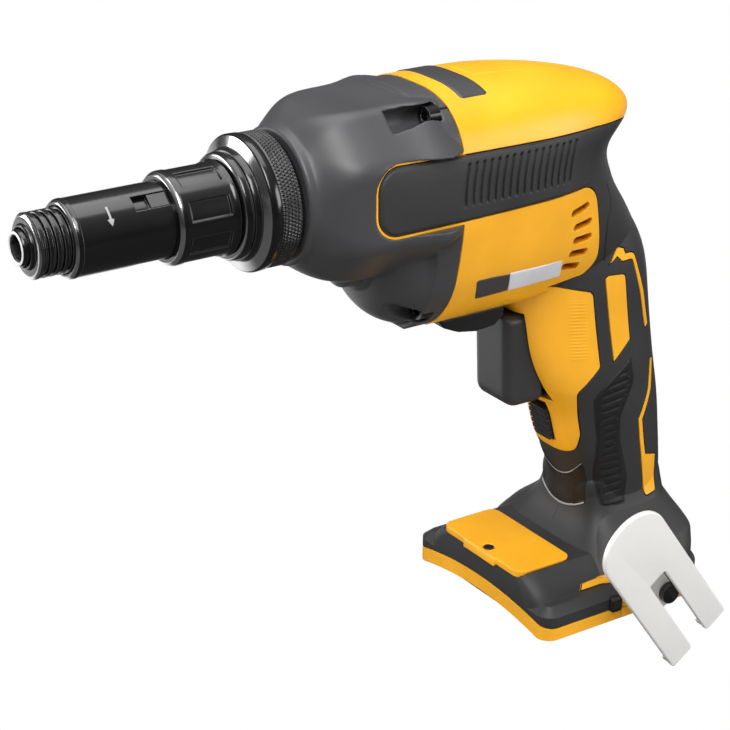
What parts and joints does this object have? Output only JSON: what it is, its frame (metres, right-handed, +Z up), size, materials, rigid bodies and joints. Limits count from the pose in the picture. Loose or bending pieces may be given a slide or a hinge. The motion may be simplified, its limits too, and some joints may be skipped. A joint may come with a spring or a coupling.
{
  "type": "cordless screwdriver",
  "caption": "Bare cordless screwdriver: depth-setting nose, gear case, soft-grip pistol handle with trigger, foot with battery channel and a belt hook",
  "frame": {"origin": "centre of the foot's underside, at the battery channel", "axes": "nose along -X, +Z up through the handle, +Y towards the tool's right side"},
  "size_m": [0.236, 0.0825, 0.206],
  "materials": {
    "yellow_plastic": "satin, moulded",
    "soft_grip": "matte soft overmould",
    "cast_grey": "satin dark grey casting",
    "black_steel": "glossy blackened steel",
    "bright_steel": "ground steel",
    "stainless": "polished stainless plate",
    "black_plastic": "matte moulded",
    "plate_grey": "smooth plate left bare",
    "copper": "bare copper",
    "lead_red": "insulated lead",
    "bronze": "plain bearing bronze"
  },
  "bodies": {
    "tool": {"gear_case": "cast_grey", "gear_case_screws": "black_steel", "bearing_plate": "bright_steel", "spindle_front_bearing": "bright_steel", "spindle_rear_bearing": "bright_steel", "nose_bush": "bronze", "nose_barrel": "black_steel", "stator": "bright_steel", "windings": "copper", "motor_front_bearing": "bright_steel", "pinion_front_bearing": "bright_steel", "motor_rear_bearing": "bright_steel", "motor_end_plate": "black_plastic", "left_housing": "yellow_plastic", "right_housing": "yellow_plastic", "left_grip": "soft_grip", "right_grip": "soft_grip", "housing_screws": "black_steel", "top_badge": "plate_grey", "left_label": "plate_grey", "right_label": "plate_grey", "trigger_spring": "bright_steel", "switch_body": "black_plastic", "controller": "black_plastic", "motor_leads": "lead_red", "battery_rail": "black_plastic", "terminal_block": "black_plastic", "battery_contacts": "copper", "chip_cover": "yellow_plastic", "chip_cover_screw": "black_steel", "belt_hook": "stainless", "belt_hook_screw": "black_steel"},
    "rotor": {"motor_shaft": "bright_steel", "pinion": "bright_steel", "rotor_core": "bright_steel", "cooling_fan": "black_plastic"},
    "spindle": {"drive_shaft": "bright_steel", "spindle_gear": "bright_steel", "clutch_spring": "bright_steel"},
    "bit_holder": {"bit_spindle": "black_steel", "bit_magnet": "bright_steel"},
    "locator": {"depth_locator": "black_steel"},
    "collar": {"depth_collar": "black_steel"},
    "nose_lock": {"lock_ring": "black_steel"},
    "trigger": {"trigger": "black_plastic"},
    "selector": {"direction_selector": "black_plastic"},
    "lock_button": {"lock_slide": "black_plastic"}
  },
  "joints": [
    {"name": "rotor_spin", "type": "hinge", "parent": "tool", "child": "rotor", "pos_m": [0, 0, 0.136], "axis": [1, 0, 0], "continuous": true},
    {"name": "spindle_spin", "type": "hinge", "parent": "tool", "child": "spindle", "pos_m": [0, 0, 0.158], "axis": [1, 0, 0], "continuous": true},
    {"name": "bit_press", "type": "slide", "parent": "spindle", "child": "bit_holder", "axis": [1, 0, 0], "range_m": [0, 0.004], "stiffness_N_per_m": 1500, "springref_m": -0.002, "deforming": ["clutch_spring"]},
    {"name": "depth_turn", "type": "hinge", "parent": "tool", "child": "collar", "pos_m": [0, 0, 0.158], "axis": [1, 0, 0], "range_deg": [-360, 360]},
    {"name": "depth_slide", "type": "slide", "parent": "tool", "child": "locator", "axis": [1, 0, 0], "range_m": [-0.003, 0.003]},
    {"name": "nose_lock_turn", "type": "hinge", "parent": "tool", "child": "nose_lock", "pos_m": [0, 0, 0.158], "axis": [1, 0, 0], "range_deg": [0, 40]},
    {"name": "trigger_pull", "type": "slide", "parent": "tool", "child": "trigger", "axis": [1, 0, 0], "range_m": [0, 0.006], "stiffness_N_per_m": 700, "springref_m": -0.003, "deforming": ["trigger_spring"]},
    {"name": "direction_select", "type": "slide", "parent": "tool", "child": "selector", "axis": [0, 1, 0], "range_m": [-0.0025, 0.0025]},
    {"name": "lock_on", "type": "slide", "parent": "tool", "child": "lock_button", "axis": [-0.2756, 0, 0.9613], "range_m": [0, 0.003]}
  ],
  "couplings": [
    {"joint": "spindle_spin", "follows": "rotor_spin", "ratio": -0.19565},
    {"joint": "depth_slide", "follows": "depth_turn", "m_per_rad": 0.00047746}
  ]
}
